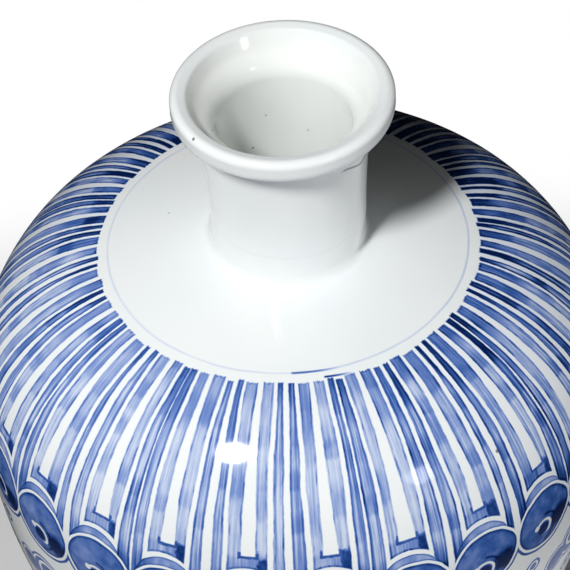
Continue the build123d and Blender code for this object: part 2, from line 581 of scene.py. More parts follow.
@dataclass(frozen=True)
class Lip:
    """The thick rolled lip with its dished mouth."""

    neck: Neck
    overhang: float = 7.1
    height: float = 8.4
    undercut: float = 1.6
    width: float = 5.3
    fall: float = 1.3
    edge_round: float = 2.4
    inner_round: float = 1.8
    under_round: float = 3.4
    crease_round: float = 2.0
    mouth_depth: float = 10.5
    mouth_wall_depth: float = 6.0
    mouth_wall_draft: float = 3.0
    mouth_round: float = 8.0
    bore_round: float = 9.0

    @property
    def radius(self) -> float:
        """Radius of the outer face."""
        return self.neck.crease.real + self.overhang

    @property
    def top(self) -> float:
        """Height of the outer edge before rounding."""
        return self.neck.crease.imag + self.undercut + self.height

    @property
    def seam(self) -> float:
        """Middle height of the seam under the lip."""
        under = self.neck.crease.imag - self.crease_round
        dish = self.radius - self.width - self.mouth_wall_draft - self.neck.bore_radius
        turn = math.atan(dish / (self.mouth_depth - self.mouth_wall_depth))
        within = self.top - self.mouth_depth - self.bore_round * math.tan(turn / 2)
        return min(under, within) - self.neck.slip / 2

    def draw(self, pen: Pen) -> None:
        """Draw from the bore up the mouth, over the lip and down to its seam on the outer face."""
        neck = self.neck
        seam_top = self.seam + neck.slip / 2
        bore = complex(neck.bore_radius, self.top - self.mouth_depth)
        inner = complex(self.radius - self.width, self.top - self.fall)
        dish = complex(inner.real - self.mouth_wall_draft, self.top - self.mouth_wall_depth)
        outer = complex(self.radius, self.top)
        under = complex(self.radius, neck.crease.imag + self.undercut)
        inward = (neck.crease - under) / abs(neck.crease - under)
        ball = ball_rest(neck.crease, inward, inward * 1j, neck.arc_centre, neck.arc, self.crease_round)
        pen.spot = complex(neck.bore_radius, seam_top)
        pen.begin("lip")
        corners = (bore, dish, inner, outer, under, neck.crease)
        rounds = (self.bore_round, self.mouth_round, self.inner_round, self.edge_round, self.under_round)
        for corner, radius, towards in zip(corners, rounds, corners[1:]):
            pen.bend(corner, radius, towards)
        pen.line(ball - inward * 1j * self.crease_round)
        pen.arc(ball, 2 * ball - neck.arc_centre)
        pen.arc(neck.arc_centre, neck.face(seam_top))


@dataclass(frozen=True)
class Base:
    """The slab that closes the bottom, and the slip that beds it."""

    body: Body
    thickness: float = 8.0
    cove: float = 4.0

    @property
    def low(self) -> complex:
        """Lower outer corner of the slab."""
        return complex(self.body.seat_radius - self.body.slip, self.body.foot_recess + self.body.slip)

    @property
    def high(self) -> complex:
        """Upper outer corner of the slab."""
        return self.low + self.thickness * 1j

    def draw_disc(self, pen: Pen) -> None:
        """Draw the slab from its middle above to its middle below."""
        pen.spot = complex(0, self.high.imag)
        pen.begin("base_disc")
        pen.line(self.high, self.low, complex(0, self.low.imag))

    def draw_slip(self, pen: Pen) -> None:
        """Draw the bed under and round the slab, with the cove pressed into the corner above it."""
        seat = complex(self.body.seat_radius, self.body.foot_recess)
        ledge = complex(self.body.ledge_radius, self.body.foot_recess)
        start = complex(seat.real - self.cove, self.high.imag)
        pen.spot = start
        pen.begin("base_slip")
        pen.sweep(start + self.cove * 1j, 0)
        pen.line(seat, ledge, complex(ledge.real, self.low.imag), self.low, self.high, start)


class Closing(Enum):
    """How a drawn section ends; the value is the number of rows that are drawn twice to close it."""

    LOOP = 1
    ON_AXIS = 0


def ramp(value: float, start: float, end: float) -> float:
    """Rise from 0 at one value to 1 at another."""
    return min(1.0, max(0.0, (value - start) / (end - start)))


@dataclass(frozen=True)
class Hand:
    """How far the potter's hand pressed the thrown wall in, in millimetres.

    Attributes:
        wall: Depth on the body.
        neck: Depth added on the softer neck.
        foot: Heights between which it starts over the turned foot.
        collar: Heights between which the neck's share starts.
        lip: Heights between which it ends under the turned lip.
        bore: Radii between which it ends towards the reamed bore.
    """

    wall: float = 0.18
    neck: float = 0.55
    foot: Span = (30.0, 60.0)
    collar: Span = (318.0, 326.0)
    lip: Span = (362.0, 356.0)
    bore: Span = (24.2, 24.8)

    def slack(self, spot: complex) -> float:
        """Depth at a point of the section."""
        depth = self.wall * ramp(spot.imag, *self.foot) + self.neck * ramp(spot.imag, *self.collar)
        return depth * ramp(spot.imag, *self.lip) * ramp(spot.real, *self.bore)


@dataclass
class Wheel:
    """Turns drawn sections about the vase's axis, with the small unevenness of a thrown wall.

    Attributes:
        segments: Faces round the vase.
        lean: How far the neck stands off the axis, towards +X.
        lean_from: Height at which the lean starts.
        lean_to: Height at which it is whole.
        press: Span of the hollows that the hand left, in millimetres.
        seed: Seed of those hollows.
        crease_angle: Edges sharper than this keep a crease, in degrees.
        weld: Distance in metres within which points are joined.
        hand: How deep those hollows are.
        tree: The turning tree, once it is built.
    """

    segments: int = 288
    lean: float = 0.9
    lean_from: float = 301.0
    lean_to: float = 320.0
    press: float = 26.0
    seed: float = 3.7
    crease_angle: float = 42.0
    weld: float = 1e-6
    hand: Hand = field(default_factory=Hand)
    tree: bpy.types.NodeTree | None = None

    def socket(self, name: str, kind: str, out: bool = False) -> bpy.types.NodeTreeInterfaceSocket:
        """Add a named input or output to the turning tree."""
        return self.tree.interface.new_socket(name=name, in_out="OUTPUT" if out else "INPUT", socket_type=kind)

    def build_tree(self) -> None:
        """Build the turning tree: a grid whose rows take the section's points and whose columns go round."""
        self.tree = bpy.data.node_groups.new("turned_section", "GeometryNodeTree")
        inputs = {"NodeSocketGeometry": ("Section",), "NodeSocketInt": ("Segments", "Wrap"),
                  "NodeSocketFloat": ("Lean", "Lean from", "Lean to", "Press", "Seed", "Crease angle"),
                  "NodeSocketMaterial": ("Finish",)}
        for kind, names in inputs.items():
            for name in names:
                self.socket(name, kind)
        self.socket("Piece", "NodeSocketGeometry", out=True)
        tree = Tree(self.tree)
        given = tree.node("NodeGroupInput").outputs
        section = given["Section"]
        segments = Num(tree, given["Segments"])
        count = tree.num("GeometryNodeAttributeDomainSize", {"component": "MESH"}, {0: section})
        last = count + Num(tree, given["Wrap"]) - 1
        grid = tree.node("GeometryNodeMeshGrid", sockets={
            "Size X": segments, "Size Y": last, "Vertices X": segments + 1, "Vertices Y": last + 1})
        here = tree.node("GeometryNodeInputPosition").outputs[0]
        column, row, _ = tree.parts(here)
        row = tree.math("FLOORED_MODULO", (row + last / 2 + 0.5).floor(), count)
        angle = column * (2 * math.pi) / segments

        def sampled(kind: str, value: bpy.types.NodeSocket) -> bpy.types.NodeSocket:
            """Value of the section's point for this row."""
            return tree.node("GeometryNodeSampleIndex", {"data_type": kind},
                             {"Geometry": section, "Value": value, "Index": row}).outputs[0]

        def stored(name: str) -> bpy.types.NodeSocket:
            """One of the section's number attributes."""
            named = tree.node("GeometryNodeInputNamedAttribute", {"data_type": "FLOAT"}, {"Name": name})
            return named.outputs[0]

        radius, _, height = tree.parts(sampled("FLOAT_VECTOR", here))
        paint = sampled("FLOAT", stored(PAINT))
        slack = Num(tree, sampled("FLOAT", stored(SLACK)))
        east, south = tree.math("SINE", angle), tree.math("COSINE", angle)
        where = tree.vector(radius * east, radius * south, height)
        hollows = tree.num("ShaderNodeTexNoise", {"noise_dimensions": "4D"},
                           {"Vector": where, "W": given["Seed"], "Scale": 1 / (Num(tree, given["Press"]) * MM),
                            "Detail": 0.0})
        radius = radius - slack * hollows * MM
        leaning = (height / MM).rise(given["Lean from"], given["Lean to"]) * given["Lean"] * MM
        spot = tree.vector(radius * east + leaning, -radius * south, height)
        edge = tree.num("GeometryNodeInputMeshEdgeAngle")
        flow = grid.outputs["Mesh"]
        for kind, settings, sockets in (
                ("GeometryNodeStoreNamedAttribute", {"data_type": "FLOAT", "domain": "POINT"},
                 {"Name": PAINT, "Value": paint}),
                ("GeometryNodeSetPosition", {}, {"Position": spot}),
                ("GeometryNodeMergeByDistance", {}, {"Distance": self.weld}),
                ("GeometryNodeSetShadeSmooth", {"domain": "FACE"}, {}),
                ("GeometryNodeSetShadeSmooth", {"domain": "EDGE"},
                 {"Selection": edge > given["Crease angle"], "Shade Smooth": False}),
                ("GeometryNodeRealizeInstances", {}, {}),
                ("GeometryNodeSetMaterial", {}, {"Material": given["Finish"]})):
            flow = tree.node(kind, settings, {"Geometry": flow, **sockets}).outputs[0]
        tree.node("NodeGroupOutput", sockets={"Piece": flow})

    def turn(self, name: str, dots: list[Dot], zero: float, closing: Closing,
             finish: bpy.types.Material) -> bpy.types.Object:
        """Turn one section into a piece with a plain mesh.

        Args:
            name: The piece's name.
            dots: The section's points, in order.
            zero: Distance drawn at the ring line, from which painted distances count.
            closing: Whether the section is a loop or ends on the axis.
            finish: The piece's material.

        Returns:
            The piece, at the origin.
        """
        mesh = bpy.data.meshes.new(name + "_section")
        mesh.from_pydata([(dot.spot.real * MM, 0, dot.spot.imag * MM) for dot in dots], [], [])
        for attribute, numbers in ((PAINT, [dot.travel - zero if dot.painted else INSIDE for dot in dots]),
                                   (SLACK, [self.hand.slack(dot.spot) for dot in dots])):
            mesh.attributes.new(attribute, "FLOAT", "POINT").data.foreach_set("value", numbers)
        piece = put_up(name, mesh)
        modifier = piece.modifiers.new("turned", "NODES")
        modifier.node_group = self.tree
        values = {"Segments": self.segments, "Wrap": closing.value, "Lean": self.lean,
                  "Lean from": self.lean_from, "Lean to": self.lean_to, "Press": self.press, "Seed": self.seed,
                  "Crease angle": math.radians(self.crease_angle), "Finish": finish}
        for item in self.tree.interface.items_tree:
            if item.in_out == "INPUT" and item.name in values:
                modifier[item.identifier] = values[item.name]
        depsgraph = bpy.context.evaluated_depsgraph_get()
        plain = bpy.data.meshes.new_from_object(piece.evaluated_get(depsgraph), depsgraph=depsgraph)
        piece.modifiers.remove(modifier)
        piece.data = plain
        plain.name = name
        bpy.data.meshes.remove(mesh)
        return piece


@dataclass(frozen=True)
class Cobalt:
    """Cobalt painting: the colours of thin to thick pigment under the glaze."""

    bare: Colour = srgb(245, 248, 248)
    breath: Colour = srgb(198, 211, 236)
    wash: Colour = srgb(123, 149, 209)
    middle: Colour = srgb(60, 99, 174)
    deep: Colour = srgb(25, 58, 123)
    heaped: Colour = srgb(7, 31, 80)

    def stops(self) -> list[tuple[float, Colour]]:
        """Ramp from bare porcelain to heaped pigment."""
        return [(0.0, self.bare), (0.12, self.breath), (0.34, self.wash), (0.6, self.middle), (0.84, self.deep),
                (1.0, self.heaped)]


@dataclass(frozen=True)
class Glaze:
    """The clear glaze over everything but the foot ring."""

    thin: Colour = srgb(246, 249, 248)
    thick: Colour = srgb(241, 246, 247)
    pooled: Colour = srgb(214, 226, 228)
    in_mouth: Colour = srgb(246, 249, 246)
    roughness: float = 0.09
    ripple: float = 0.04
    ripple_span: float = 9.0
    specular: float = 0.4


@dataclass(frozen=True)
class Flaw:
    """A small fault of the firing, such as an iron speck or a pit in the glaze."""

    place: Place
    size: float
    colour: Colour = srgb(104, 84, 58)


class Painting:
    """The porcelain's surface as shader maths: places on it, brushwork and glaze."""

    smallest = 0.3  # size of the smallest speck, as a share of the largest
    core = 0.4  # share of a speck's radius that is wholly dark
    flaw_strength = 0.85

    def __init__(self, name: str, cobalt: Cobalt, glaze: Glaze) -> None:
        """Start an empty material."""
        self.material = bpy.data.materials.new(name)
        self.tree = Tree.of(self.material)
        self.cobalt = cobalt
        self.glaze = glaze
        where = self.tree.node("ShaderNodeTexCoord").outputs["Object"]
        self.spot = self.tree.node("ShaderNodeVectorMath", {"operation": "SCALE"},
                                   {0: where, "Scale": 1 / MM}).outputs[0]
        self.x, self.y, self.z = self.tree.parts(self.spot)
        self.radius = self.x.hypot(self.y)
        self.angle = self.tree.math("ARCTAN2", self.x, -self.y)
        self.bearing = self.angle * (180 / math.pi)
        self.down = self.tree.num("ShaderNodeAttribute", {"attribute_name": PAINT}, output="Fac")

    def noise(self, span: float, detail: float = 2.0, seed: float = 0.0) -> Num:
        """Even noise over the surface, about 0, with blots of a span in millimetres."""
        return self.tree.num("ShaderNodeTexNoise", {"noise_dimensions": "4D"},
                             {"Vector": self.spot, "W": seed, "Scale": 1 / span, "Detail": detail}) - 0.5

    def grain(self, across: float, along: float, detail: float = 2.0, seed: float = 0.0) -> Num:
        """Noise drawn out down the wall, about 0; its spans are in millimetres at a radius of 100."""
        turn = 100 / across
        place = self.tree.vector(self.x / self.radius * turn, self.y / self.radius * turn, self.down / along)
        return self.tree.num("ShaderNodeTexNoise", {"noise_dimensions": "4D"},
                             {"Vector": place, "W": seed, "Scale": 1.0, "Detail": detail}) - 0.5

    def chance(self, first: Num, second: Any) -> list[Num]:
        """Three even random numbers from 0 to 1 for a pair of whole numbers."""
        place = self.tree.vector(first, second, 0.5)
        colour = self.tree.node("ShaderNodeTexWhiteNoise", {"noise_dimensions": "3D"}, {"Vector": place})
        return self.tree.parts(colour.outputs["Color"])

    def specks(self, pitch: float, share: float, size: float) -> Num:
        """Iron specks: a mask with dots in a share of cells of a pitch."""
        cells = self.tree.node("ShaderNodeTexVoronoi", {"voronoi_dimensions": "3D"},
                               {"Vector": self.spot, "Scale": 1 / pitch})
        pick, grow, _ = self.tree.parts(cells.outputs["Color"])
        reach = (grow * (1 - self.smallest) + self.smallest) * (size / pitch)
        distance = Num(self.tree, cells.outputs["Distance"])
        return distance.rise(reach, reach * self.core) * (share > pick)

    def blend(self, mask: Num, under: Any, over: Any) -> bpy.types.NodeSocket:
        """Mix two colours by a mask."""
        return self.tree.node("ShaderNodeMix", {"data_type": "RGBA"}, {0: mask, 6: under, 7: over}).outputs[2]

    def flawed(self, colour: bpy.types.NodeSocket, flaws: tuple[Flaw, ...]) -> bpy.types.NodeSocket:
        """Lay small flaws over a colour."""
        ragged = self.noise(0.9, detail=1.0, seed=41.0)
        for flaw in flaws:
            away = self.tree.num("ShaderNodeVectorMath", {"operation": "DISTANCE"},
                                 {0: self.spot, 1: flaw.place}, output="Value")
            mask = (away + ragged * flaw.size).rise(flaw.size, flaw.size * self.core)
            colour = self.blend(mask * self.flaw_strength, colour, flaw.colour)
        return colour

    def finish(self, colour: bpy.types.NodeSocket, roughness: Any) -> bpy.types.Material:
        """Close the material with its glossy surface."""
        ripple = self.noise(self.glaze.ripple_span, detail=3.0, seed=8.0)
        bump = self.tree.node("ShaderNodeBump", sockets={"Strength": self.glaze.ripple, "Distance": MM,
                                                         "Height": ripple})
        surface = self.tree.node("ShaderNodeBsdfPrincipled", sockets={
            "Base Color": colour, "Roughness": roughness, "Specular IOR Level": self.glaze.specular,
            "Normal": bump.outputs[0]})
        self.tree.node("ShaderNodeOutputMaterial", sockets={"Surface": surface.outputs[0]})
        return self.material

    def bare(self) -> bpy.types.NodeSocket:
        """White porcelain, a little bluer where the glaze lies thicker."""
        return self.blend(self.noise(34.0, seed=5.0).rise(-0.3, 0.3), self.glaze.thin, self.glaze.thick)


class WhitePorcelain(Painting):
    """White porcelain under clear glaze, with the mouth's tint, iron specks and painted shade under the lip."""

    outside = (23.5, 25.0)  # radii from the bore's wall to the neck's outer face
    bore = (24.8, 23.8)  # radii from that face to the bore's wall
    dish = (31.5, 29.0)  # radii from the lip's top into the dished mouth
    dish_floor = (356.0, 358.5)  # heights from the neck up to the dish
    collar = 319.5  # height at which glaze pooled round the neck's foot
    under_lip_shade = 353.0  # height of the line of painted shade under the lip, at its front end
    under_lip_shade_fall = 4.0  # its fall towards the back
    under_lip_shade_ends = (41.0, 70.0)  # its ends, in degrees to the right of the front
    under_lip_shade_colour = srgb(92, 88, 80)
    speck_colour = srgb(120, 104, 80)
    flaws = (
        Flaw((-28.0, -21.0, 369.6), 0.75, srgb(96, 68, 34)),
        Flaw((-4.9, 21.7, 340.6), 0.7, srgb(206, 208, 198)),
        Flaw((-22.0, -7.8, 361.3), 0.6, srgb(120, 116, 102)),
        Flaw((-9.9, 19.6, 328.0), 0.7, srgb(160, 158, 144)),
        Flaw((8.9, 20.9, 333.6), 0.7, srgb(212, 212, 202)),
    )

    def make(self) -> bpy.types.Material:
        """Build the material."""
        wave = self.noise(6.0, seed=33.0)
        outside = self.radius.rise(*self.outside)
        pool = (self.z - self.collar + wave * 0.8).drawn(1.3, 0.2) * outside
        colour = self.blend(pool * 0.12, self.bare(), self.glaze.pooled)
        mouth = self.radius.rise(*self.bore).most(self.radius.rise(*self.dish) * self.z.rise(*self.dish_floor))
        colour = self.blend(mouth, colour, self.glaze.in_mouth)
        # Painted shade: a dark line in the crease under the lip, on the side away from the key lamp.
        fall = self.bearing.rise(40, 64) * self.under_lip_shade_fall
        painted_shade = (self.z - self.under_lip_shade + fall + wave).drawn(0.6, 0.2)
        painted_shade = painted_shade * self.bearing.between(*self.under_lip_shade_ends, 3.0) * outside
        colour = self.blend(painted_shade * 0.75, colour, self.under_lip_shade_colour)
        colour = self.flawed(colour, self.flaws)
        colour = self.blend(self.specks(13.0, 0.06, 0.45) * 0.7, colour, self.speck_colour)
        return self.finish(colour, self.glaze.roughness)


class FiredSlip(Painting):
    """Unglazed slip under the foot, fired to a warm biscuit."""

    pale = srgb(228, 217, 198)
    dark = srgb(205, 189, 163)
    roughness = 0.62

    def make(self) -> bpy.types.Material:
        """Build the material."""
        colour = self.blend(self.noise(7.0, detail=4.0, seed=31.0).rise(-0.3, 0.3), self.pale, self.dark)
        return self.finish(colour, self.roughness)


@dataclass(frozen=True)
class Blot:
    """A round patch of pigment on a motif, in millimetres right of and below the motif's middle."""

    right: float
    below: float
    outer: float
    inner: float
    load: float = 1.0

    def mask(self, x: Num, y: Num) -> Num:
        """Pigment of the patch: all of it within the inner radius and none beyond the outer one."""
        return (x - self.right).hypot(y - self.below).rise(self.outer, self.inner) * self.load


@dataclass(frozen=True)
class LappetPlan:
    """Plan of the striped lappets, each with a bare gap, a broad leg beside it and a thin stripe beyond.

    Places across are shares of a lappet's width from its middle. Lengths down are in millimetres.
    """

    count: int = 26
    first: float = 4.0  # degrees from the front to the middle of a lappet
    front_width: float = 0.016  # share by which those in front are wider
    start: float = 3.2  # from the ring line to the stripes
    gap: float = 0.046  # edge of the gap at the ring line
    gap_growth: float = 0.0008  # its growth per millimetre down
    leg: float = 0.272  # outer edge of a leg at the ring line
    leg_loss: float = 0.0004  # its loss per millimetre down
    slit: float = 0.066  # bare slit between a leg and a thin stripe
    thin: float = 0.466  # outer edge of a thin stripe
    foot: float = 62.4  # from the ring line to the foot of the gap
    arch: float = 12.8  # radius of the arch that ends the legs
    shift: float = 0.06  # unevenness of the lappets' places
    foot_play: float = 2.0  # unevenness of the gaps' feet
    start_play: float = 1.2  # unevenness of the stripes' starts
    play: Place = (0.03, 0.04, 0.03)  # unevenness of gaps, legs and slits
    sway: Place = (0.08, 0.10, 0.08)  # wobble along gaps, legs and thin stripes
    sway_span: float = 26.0  # length of that wobble


@dataclass(frozen=True)
class Brushwork:
    """How much pigment each habit of the brush leaves, and the painted light and shade round the vase; 1 is
    heaped.
    """

    load: float = 1.13  # mean load of the brush
    painted_shade_behind: float = 0.53  # painted shade behind, away from the key lamp, and painted light in front
    painted_shade_right: float = 0.18  # painted shade on the right, away from the key lamp, and painted light on the left
    painted_light_turn: float = 0.1  # radians by which both are turned to the left, towards the key lamp
    wash: float = 0.2  # everywhere
    stroke: float = 0.12  # on some strokes more than on others
    narrow: float = 0.13  # on the thin stripes
    streak: float = 0.75  # along the hairs of the brush
    narrow_streak: float = 0.8
    wetness: float = 0.4  # where the brush ran wet
    laps: Span = (0.2, 0.16)  # where a stroke was taken up again
    start: float = 0.24  # where the brush was set down
    narrow_start: float = 0.1
    heel: float = 0.16  # under the foot of the gap
    tip: float = 0.36  # at the ends of the thin stripes
    outline: float = 0.11  # along every edge
    edge: float = 0.56  # along an edge in dashes
    narrow_edge: float = 0.1
    narrow_dash: float = 0.36  # least share of dashes on the thin stripes
    heel_edge: float = 0.3
    hem: float = 0.66  # line round the foot of the gap
    corner: float = 0.24  # heap at its lower corners
    right_corner: float = 0.58  # more on the right
    haze: float = 0.021  # spread into the glaze between the strokes


@dataclass(frozen=True)
class Stripe:
    """What the brush knows of the stripe at a place on the shoulder.

    Attributes:
        inside: Millimetres inside the stripe's edge.
        beside: Millimetres sideways from the lappet's gap.
        foot: Millimetres below the foot of that gap.
        tip: Millimetres from the white line round the cloud head below.
        narrow: 1 on a thin stripe, 0 on a leg.
        right: 1 on the right half of a lappet, 0 on the left.
        band: The stripe's own whole number.
        brush: Three random numbers of the stripe.
        loose: A random number of the lappet.
    """

    inside: Num
    beside: Num
    foot: Num
    tip: Num
    narrow: Num
    right: Num
    band: Num
    brush: list[Num]
    loose: Num


@dataclass(frozen=True)
class HeadPlan:
    """Plan of the cloud heads under the lappets, in millimetres; a hook of bare porcelain curls in each."""

    middle: float = 84.7  # from the ring line to the middle of a head
    white: float = 13.5  # radius outside the white line round a head
    line: float = 1.0  # width of that line
    squeeze: float = 0.97
    wobble: float = 1.4
    arch: complex = -0.8 + 79.0j  # middle of the arches: right, and down from the ring line
    crescent: float = 11.2  # radius of the crescent under an arch
    hook: complex = -1.0 + 4.5j  # middle of the hook
    hook_radius: float = 3.9
    stroke_radius: float = 6.4  # dark stroke drawn round the hook
    core: Blot = Blot(0.0, 0.0, 3.1, 2.5, 0.95)
    hook_end: Blot = Blot(-3.2, -2.4, 1.5, 1.1)
    dark: Blot = Blot(7.5, 4.0, 6.5, 2.5, 0.46)
    pale: Blot = Blot(-6.0, -4.0, 7.0, 2.0, 0.1)


@dataclass(frozen=True)
class ScrollPlan:
    """Plan of the staggered cloud scrolls below the cloud heads, in millimetres."""

    count: int = 13  # scrolls in a row
    first: float = -50.8  # degrees from the front to the middle of one
    rows: int = 4
    top: float = 101.0  # from the ring line to the first row
    pitch: float = 26.0
    width: float = 50.0
    head: float = -4.0  # middle of the coiled head, to the right
    head_radius: float = 9.5
    coil: float = 4.2  # pitch of its coil
    lobes: tuple[Place, ...] = ((-15.5, 3.0, 6.5), (8.5, 3.5, 6.8), (17.0, 6.0, 4.4), (20.5, -8.0, 3.0))


@dataclass(frozen=True)
class PetalPlan:
    """Plan of the upright petals above the foot, in millimetres down from the ring line."""

    count: int = 16
    tip: float = 226.0
    base: float = 301.0
    full: float = 260.0  # where a petal reaches its width
    half: float = 0.475  # half of that, as a share of the petals' spacing
    jewel: float = 279.0  # middle of the oval in a petal


@dataclass(frozen=True)
class RingPlan:
    """Plan of the ring line on the dome, in degrees right of the front, and of the lines lower down."""

    faint: float = 0.065  # pigment of the ring
    start: Span = (-1.4, -0.7)  # where the brush was set down
    spent: Span = (15.0, 3.0)  # where it had given off most of its pigment
    end: Span = (8.5, 20.0)  # where the line's end runs on below its start
    end_drop: float = 2.6  # millimetres from the ring line down to that end
    end_slope: float = 0.06  # millimetres further down per degree
    lower: tuple[float, ...] = (213.0, 217.5, 306.0, 310.5, 330.0)  # millimetres down from the ring line


class PaintedPorcelain(Painting):
    """Porcelain painted with lappets over cloud heads, then scrolls and upright petals down to the foot."""

    lappet = LappetPlan()
    brushwork = Brushwork()
    head = HeadPlan()
    scroll = ScrollPlan()
    petal = PetalPlan()
    ring = RingPlan()
    fill = (-0.1, 0.25)  # soft edge of a filled shape
    stroke_step = 7.31  # keeps the wobbles of neighbouring strokes apart
    glaze_end = (2.4, 4.4)  # heights of the glaze's burnt edge
    bare_foot = (3.4, 2.6)  # heights between which the glaze gives way to the bare foot ring
    burnt = srgb(206, 142, 92)
    biscuit = srgb(226, 213, 192)
    biscuit_roughness = 0.55  # on top of the glaze's
    speck_colour = srgb(96, 80, 60)
    flaws = (
        Flaw((-39.9, 13.7, 305.8), 0.5, srgb(188, 190, 186)),
        Flaw((64.1, -77.2, 277.0), 0.9),
    )

    def __init__(self, name: str, cobalt: Cobalt, glaze: Glaze) -> None:
        """Start the material; its pigment is deeper behind and on the right and paler in front, as painted
        light and shade.
        """
        super().__init__(name, cobalt, glaze)
        work, turn = self.brushwork, self.angle + self.brushwork.painted_light_turn
        self.load = (work.load - self.tree.math("COSINE", turn) * work.painted_shade_behind
                     + self.tree.math("SINE", turn) * work.painted_shade_right)
        self.wave = self.noise(7.0, detail=1.0, seed=12.0)
        self.unit, self.across, self.width = self.lappet_place()

    def make(self) -> bpy.types.Material:
        """Build the material."""
        # The haze follows the load, so it carries the painted light and shade too.
        pigment = self.down.rise(1.0, 7.0) * self.load * self.load * self.brushwork.haze
        for layer in (self.lappets(), self.heads(), self.scrolls(), self.petals(), self.rings()):
            pigment = pigment.most(layer)
        painted = self.tree.node("ShaderNodeValToRGB", {"stops": self.cobalt.stops()}, {0: pigment}).outputs[0]
        colour = self.blend(pigment.rise(0.0, 0.03), self.bare(), painted)
        colour = self.blend(self.specks(17.0, 0.06, 0.5) * 0.8, colour, self.speck_colour)
        colour = self.flawed(colour, self.flaws)
        edge = self.z + self.noise(5.0, seed=35.0) * 1.2
        colour = self.blend(edge.between(*self.glaze_end, 0.7) * 0.55, colour, self.burnt)
        bare = edge.rise(*self.bare_foot)
        colour = self.blend(bare, colour, self.biscuit)
        return self.finish(colour, bare * self.biscuit_roughness + self.glaze.roughness)

    @staticmethod
    def round_place(angle: Num, count: int) -> tuple[Num, Num]:
        """Number of one of several motifs round the vase, and the place across it from -0.5 to 0.5."""
        turns = angle * (count / (2 * math.pi))
        unit = (turns + 0.5).floor()
        return unit, turns - unit

    def lappet_place(self) -> tuple[Num, Num, Num]:
        """Number of the lappet, place across it from -0.5 to 0.5, and its width in millimetres."""
        wide = self.angle - self.tree.math("SINE", self.angle) * self.lappet.front_width
        unit, across = self.round_place(wide - math.radians(self.lappet.first), self.lappet.count)
        return unit, across, self.radius * (2 * math.pi / self.lappet.count)

    def head_place(self) -> tuple[Num, Num, Num]:
        """Millimetres right of and below the middle of a cloud head, and the distance from it."""
        x, drop = self.across * self.width, self.down - self.head.middle
        return x, drop, (x * self.head.squeeze).hypot(drop) + self.wave * self.head.wobble

    def arch(self, x: Num) -> Num:
        """Distance from the middle of the arches over a cloud head."""
        return (x - self.head.arch.real).hypot(self.down - self.head.arch.imag)

    def sway(self, stroke: Num, span: float) -> list[Num]:
        """Three slow wobbles along a brush stroke, about 0."""
        place = self.tree.vector(stroke * self.stroke_step, self.down / span, 0.0)
        wobble = self.tree.node("ShaderNodeTexNoise", {"noise_dimensions": "3D"},
                                {"Vector": place, "Scale": 1.0, "Detail": 2.0})
        return [part - 0.5 for part in self.tree.parts(wobble.outputs["Color"])]

    def laps(self, band: Num, pitch: float, shift: Num, key: float) -> Num:
        """Darker patches where a brush stroke was stopped and taken up again."""
        beat = self.down / pitch + shift * 7 + self.grain(1.0, 9.0, seed=key) * 0.22
        whole = beat.floor()
        part = beat - whole
        return part.rise(0.0, 0.3) * part.rise(0.64, 0.52) * self.chance(band, whole + key)[0].rise(0.4, 0.95)

    def stripe(self) -> Stripe:
        """Find the stripe at each place of the shoulder."""
        plan, down, width = self.lappet, self.down, self.width
        shift = self.chance(self.unit, 3.0)
        across = self.across - (shift[0] - 0.5) * plan.shift
        reach, right = abs(across), across > 0
        stroke = self.unit * 2 + right
        play = [(part - 0.5) * most for part, most in zip(self.chance(stroke, 11.0), plan.play)]
        sway = [part * most for part, most in zip(self.sway(stroke, plan.sway_span), plan.sway)]
        gap = plan.gap + down * plan.gap_growth + play[0] + sway[0]
        leg = plan.leg - down * plan.leg_loss + play[1] + sway[1]
        slit = leg + plan.slit + play[2]
        thin = plan.thin + play[0] + sway[2]
        narrow = reach > (leg + slit) / 2
        band = stroke * 2 + narrow
        brush = self.chance(band, 23.0)
        foot = down - (plan.foot + (shift[1] - 0.5) * plan.foot_play)
        beside = (reach - gap) * width
        in_leg = beside.most(foot).least((leg - reach) * width).least(self.arch(across * width) - plan.arch)
        _, drop, head = self.head_place()
        tip = head - self.head.white
        in_thin = ((reach - slit) * width).least((thin - reach) * width).least(tip)
        hairs = self.grain(0.5, 30.0, detail=1.0, seed=2.0) * 1.4
        top = down - (plan.start + brush[0] * plan.start_play) + hairs
        inside = in_leg.most(in_thin).least(top).least(-drop) + self.noise(2.2, seed=17.0) * 0.45
        return Stripe(inside, beside, foot, tip, narrow, right, band, brush, shift[2])

    def wash(self, stripe: Stripe, heel: Num) -> Num:
        """Thin pigment of a stripe, streaked along it and darker where the brush was set down."""
        work, narrow, brush = self.brushwork, stripe.narrow, stripe.brush
        streak = self.grain(0.75, 30.0, seed=4.0)
        wet = brush[1] * 16 + 8
        start = (self.down + streak * 12).rise(wet + 4.0, wet - 4.0)
        return (work.wash + brush[2] * work.stroke + narrow * (streak * work.narrow_streak + work.narrow)
                + streak * work.streak + self.grain(3.0, 8.0, detail=3.0, seed=6.0) * work.wetness
                + self.laps(stripe.band, 14.0, brush[1], 31.0) * work.laps[0]
                + self.laps(stripe.band, 23.0, brush[2], 57.0) * work.laps[1]
                + start * (narrow * work.narrow_start + work.start)
                + heel * work.heel + stripe.tip.rise(8.0, 1.0) * narrow * work.tip)

